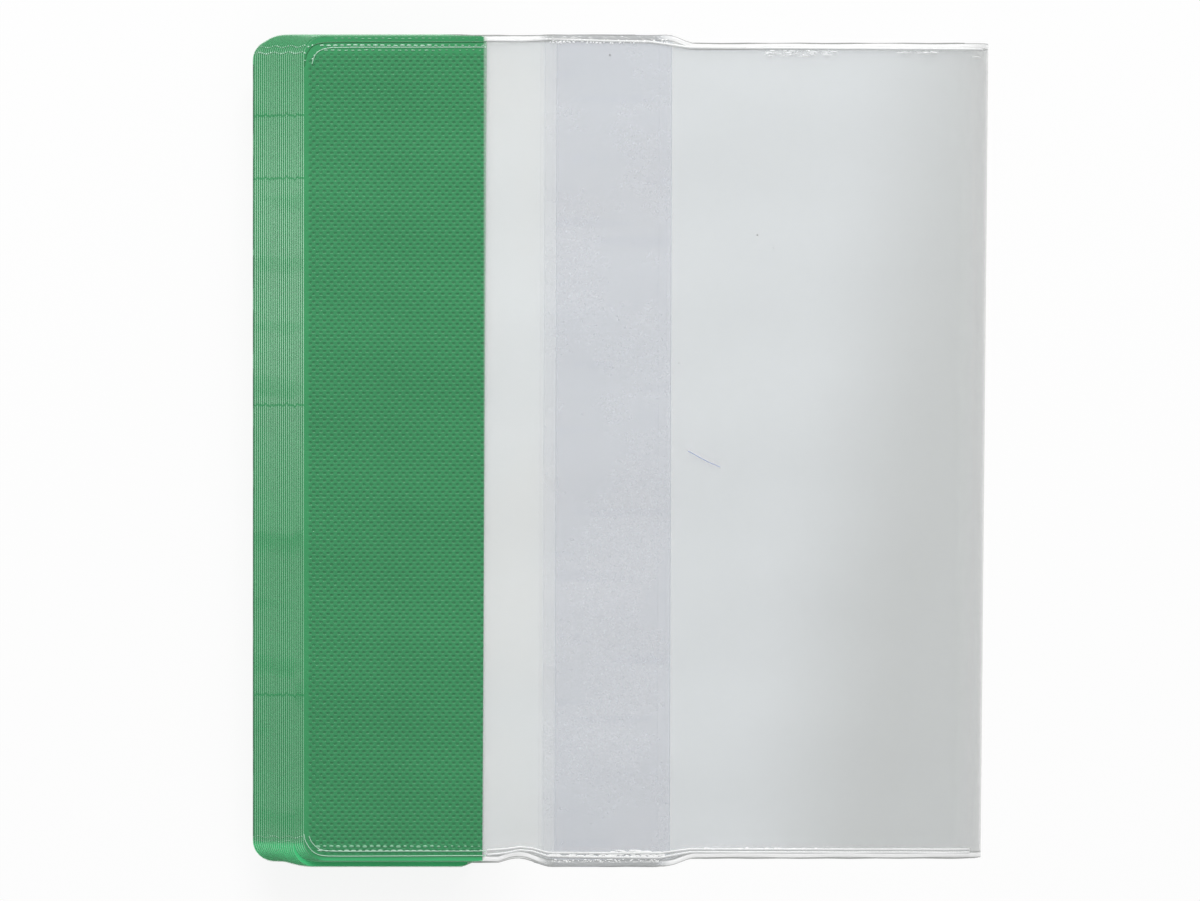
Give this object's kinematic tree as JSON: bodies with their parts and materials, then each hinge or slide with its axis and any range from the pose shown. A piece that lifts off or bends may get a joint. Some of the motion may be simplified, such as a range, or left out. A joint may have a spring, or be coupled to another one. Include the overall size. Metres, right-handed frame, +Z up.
{
  "type": "pack of slip-on book covers",
  "caption": "Pack of nested clear plastic slip-on covers for books and albums, folded in half together, each with embossed green end pockets and a clear inner strap.",
  "frame": {"origin": "under the middle of the pack, on the surface that it lies on", "axes": "+X towards the folds, +Y along the folds, +Z up through the pack"},
  "size_m": [0.2222, 0.2526, 0.0203],
  "materials": {
    "clear_film": "gloss",
    "green_film": "satin"
  },
  "bodies": {
    "back_leaves": {"back_films": "clear_film", "back_pockets": "green_film", "back_straps": "clear_film", "fold_bends": "clear_film"},
    "front_leaf_01": {"front_leaf_01_film": "clear_film", "front_leaf_01_pocket": "green_film"},
    "front_leaf_02": {"front_leaf_02_film": "clear_film", "front_leaf_02_pocket": "green_film"},
    "front_leaf_03": {"front_leaf_03_film": "clear_film", "front_leaf_03_pocket": "green_film"},
    "front_leaf_04": {"front_leaf_04_film": "clear_film", "front_leaf_04_pocket": "green_film"},
    "front_leaf_05": {"front_leaf_05_film": "clear_film", "front_leaf_05_pocket": "green_film"},
    "front_leaf_06": {"front_leaf_06_film": "clear_film", "front_leaf_06_pocket": "green_film"},
    "front_leaf_07": {"front_leaf_07_film": "clear_film", "front_leaf_07_pocket": "green_film"},
    "front_leaf_08": {"front_leaf_08_film": "clear_film", "front_leaf_08_pocket": "green_film"},
    "front_leaf_09": {"front_leaf_09_film": "clear_film", "front_leaf_09_pocket": "green_film"},
    "front_leaf_10": {"front_leaf_10_film": "clear_film", "front_leaf_10_pocket": "green_film"},
    "front_leaf_11": {"front_leaf_11_film": "clear_film", "front_leaf_11_pocket": "green_film"},
    "front_leaf_12": {"front_leaf_12_film": "clear_film", "front_leaf_12_pocket": "green_film"},
    "front_leaf_13": {"front_leaf_13_film": "clear_film", "front_leaf_13_pocket": "green_film"},
    "front_leaf_14": {"front_leaf_14_film": "clear_film", "front_leaf_14_pocket": "green_film"},
    "front_leaf_15": {"front_leaf_15_film": "clear_film", "front_leaf_15_pocket": "green_film"},
    "front_leaf_16": {"front_leaf_16_film": "clear_film", "front_leaf_16_pocket": "green_film"},
    "front_leaf_17": {"front_leaf_17_film": "clear_film", "front_leaf_17_pocket": "green_film"},
    "front_leaf_18": {"front_leaf_18_film": "clear_film", "front_leaf_18_pocket": "green_film"},
    "front_leaf_19": {"front_leaf_19_film": "clear_film", "front_leaf_19_pocket": "green_film"},
    "front_leaf_20": {"front_leaf_20_film": "clear_film", "front_leaf_20_pocket": "green_film"},
    "front_leaf_21": {"front_leaf_21_film": "clear_film", "front_leaf_21_pocket": "green_film"},
    "front_leaf_22": {"front_leaf_22_film": "clear_film", "front_leaf_22_pocket": "green_film"},
    "front_leaf_23": {"front_leaf_23_film": "clear_film", "front_leaf_23_pocket": "green_film"},
    "front_leaf_24": {"front_leaf_24_film": "clear_film", "front_leaf_24_pocket": "green_film"},
    "front_leaf_25": {"front_leaf_25_film": "clear_film", "front_leaf_25_pocket": "green_film"}
  },
  "joints": [
    {"name": "leaf_01_open", "type": "hinge", "parent": "back_leaves", "child": "front_leaf_01", "pos_m": [0.10095, 0, 0.01018], "axis": [0, 1, 0], "range_deg": [0, 178], "deforming": ["fold_bends"]},
    {"name": "leaf_02_open", "type": "hinge", "parent": "back_leaves", "child": "front_leaf_02", "pos_m": [0.10095, 0, 0.01018], "axis": [0, 1, 0], "range_deg": [0, 174.29]},
    {"name": "leaf_03_open", "type": "hinge", "parent": "back_leaves", "child": "front_leaf_03", "pos_m": [0.10095, 0, 0.01018], "axis": [0, 1, 0], "range_deg": [0, 170.58]},
    {"name": "leaf_04_open", "type": "hinge", "parent": "back_leaves", "child": "front_leaf_04", "pos_m": [0.10095, 0, 0.01018], "axis": [0, 1, 0], "range_deg": [0, 166.88]},
    {"name": "leaf_05_open", "type": "hinge", "parent": "back_leaves", "child": "front_leaf_05", "pos_m": [0.10095, 0, 0.01018], "axis": [0, 1, 0], "range_deg": [0, 163.17]},
    {"name": "leaf_06_open", "type": "hinge", "parent": "back_leaves", "child": "front_leaf_06", "pos_m": [0.10095, 0, 0.01018], "axis": [0, 1, 0], "range_deg": [0, 159.46]},
    {"name": "leaf_07_open", "type": "hinge", "parent": "back_leaves", "child": "front_leaf_07", "pos_m": [0.10095, 0, 0.01018], "axis": [0, 1, 0], "range_deg": [0, 155.75]},
    {"name": "leaf_08_open", "type": "hinge", "parent": "back_leaves", "child": "front_leaf_08", "pos_m": [0.10095, 0, 0.01018], "axis": [0, 1, 0], "range_deg": [0, 152.04]},
    {"name": "leaf_09_open", "type": "hinge", "parent": "back_leaves", "child": "front_leaf_09", "pos_m": [0.10095, 0, 0.01018], "axis": [0, 1, 0], "range_deg": [0, 148.33]},
    {"name": "leaf_10_open", "type": "hinge", "parent": "back_leaves", "child": "front_leaf_10", "pos_m": [0.10095, 0, 0.01018], "axis": [0, 1, 0], "range_deg": [0, 144.62]},
    {"name": "leaf_11_open", "type": "hinge", "parent": "back_leaves", "child": "front_leaf_11", "pos_m": [0.10095, 0, 0.01018], "axis": [0, 1, 0], "range_deg": [0, 140.92]},
    {"name": "leaf_12_open", "type": "hinge", "parent": "back_leaves", "child": "front_leaf_12", "pos_m": [0.10095, 0, 0.01018], "axis": [0, 1, 0], "range_deg": [0, 137.21]},
    {"name": "leaf_13_open", "type": "hinge", "parent": "back_leaves", "child": "front_leaf_13", "pos_m": [0.10095, 0, 0.01018], "axis": [0, 1, 0], "range_deg": [0, 133.5]},
    {"name": "leaf_14_open", "type": "hinge", "parent": "back_leaves", "child": "front_leaf_14", "pos_m": [0.10095, 0, 0.01018], "axis": [0, 1, 0], "range_deg": [0, 129.79]},
    {"name": "leaf_15_open", "type": "hinge", "parent": "back_leaves", "child": "front_leaf_15", "pos_m": [0.10095, 0, 0.01018], "axis": [0, 1, 0], "range_deg": [0, 126.08]},
    {"name": "leaf_16_open", "type": "hinge", "parent": "back_leaves", "child": "front_leaf_16", "pos_m": [0.10095, 0, 0.01018], "axis": [0, 1, 0], "range_deg": [0, 122.38]},
    {"name": "leaf_17_open", "type": "hinge", "parent": "back_leaves", "child": "front_leaf_17", "pos_m": [0.10095, 0, 0.01018], "axis": [0, 1, 0], "range_deg": [0, 118.67]},
    {"name": "leaf_18_open", "type": "hinge", "parent": "back_leaves", "child": "front_leaf_18", "pos_m": [0.10095, 0, 0.01018], "axis": [0, 1, 0], "range_deg": [0, 114.96]},
    {"name": "leaf_19_open", "type": "hinge", "parent": "back_leaves", "child": "front_leaf_19", "pos_m": [0.10095, 0, 0.01018], "axis": [0, 1, 0], "range_deg": [0, 111.25]},
    {"name": "leaf_20_open", "type": "hinge", "parent": "back_leaves", "child": "front_leaf_20", "pos_m": [0.10095, 0, 0.01018], "axis": [0, 1, 0], "range_deg": [0, 107.54]},
    {"name": "leaf_21_open", "type": "hinge", "parent": "back_leaves", "child": "front_leaf_21", "pos_m": [0.10095, 0, 0.01018], "axis": [0, 1, 0], "range_deg": [0, 103.83]},
    {"name": "leaf_22_open", "type": "hinge", "parent": "back_leaves", "child": "front_leaf_22", "pos_m": [0.10095, 0, 0.01018], "axis": [0, 1, 0], "range_deg": [0, 100.12]},
    {"name": "leaf_23_open", "type": "hinge", "parent": "back_leaves", "child": "front_leaf_23", "pos_m": [0.10095, 0, 0.01018], "axis": [0, 1, 0], "range_deg": [0, 96.42]},
    {"name": "leaf_24_open", "type": "hinge", "parent": "back_leaves", "child": "front_leaf_24", "pos_m": [0.10095, 0, 0.01018], "axis": [0, 1, 0], "range_deg": [0, 92.71]},
    {"name": "leaf_25_open", "type": "hinge", "parent": "back_leaves", "child": "front_leaf_25", "pos_m": [0.10095, 0, 0.01018], "axis": [0, 1, 0], "range_deg": [0, 89]}
  ],
  "couplings": [
    {"joint": "leaf_02_open", "follows": "leaf_01_open", "ratio": 0.97917},
    {"joint": "leaf_03_open", "follows": "leaf_01_open", "ratio": 0.95833},
    {"joint": "leaf_04_open", "follows": "leaf_01_open", "ratio": 0.9375},
    {"joint": "leaf_05_open", "follows": "leaf_01_open", "ratio": 0.91667},
    {"joint": "leaf_06_open", "follows": "leaf_01_open", "ratio": 0.89583},
    {"joint": "leaf_07_open", "follows": "leaf_01_open", "ratio": 0.875},
    {"joint": "leaf_08_open", "follows": "leaf_01_open", "ratio": 0.85417},
    {"joint": "leaf_09_open", "follows": "leaf_01_open", "ratio": 0.83333},
    {"joint": "leaf_10_open", "follows": "leaf_01_open", "ratio": 0.8125},
    {"joint": "leaf_11_open", "follows": "leaf_01_open", "ratio": 0.79167},
    {"joint": "leaf_12_open", "follows": "leaf_01_open", "ratio": 0.77083},
    {"joint": "leaf_13_open", "follows": "leaf_01_open", "ratio": 0.75},
    {"joint": "leaf_14_open", "follows": "leaf_01_open", "ratio": 0.72917},
    {"joint": "leaf_15_open", "follows": "leaf_01_open", "ratio": 0.70833},
    {"joint": "leaf_16_open", "follows": "leaf_01_open", "ratio": 0.6875},
    {"joint": "leaf_17_open", "follows": "leaf_01_open", "ratio": 0.66667},
    {"joint": "leaf_18_open", "follows": "leaf_01_open", "ratio": 0.64583},
    {"joint": "leaf_19_open", "follows": "leaf_01_open", "ratio": 0.625},
    {"joint": "leaf_20_open", "follows": "leaf_01_open", "ratio": 0.60417},
    {"joint": "leaf_21_open", "follows": "leaf_01_open", "ratio": 0.58333},
    {"joint": "leaf_22_open", "follows": "leaf_01_open", "ratio": 0.5625},
    {"joint": "leaf_23_open", "follows": "leaf_01_open", "ratio": 0.54167},
    {"joint": "leaf_24_open", "follows": "leaf_01_open", "ratio": 0.52083},
    {"joint": "leaf_25_open", "follows": "leaf_01_open", "ratio": 0.5}
  ]
}
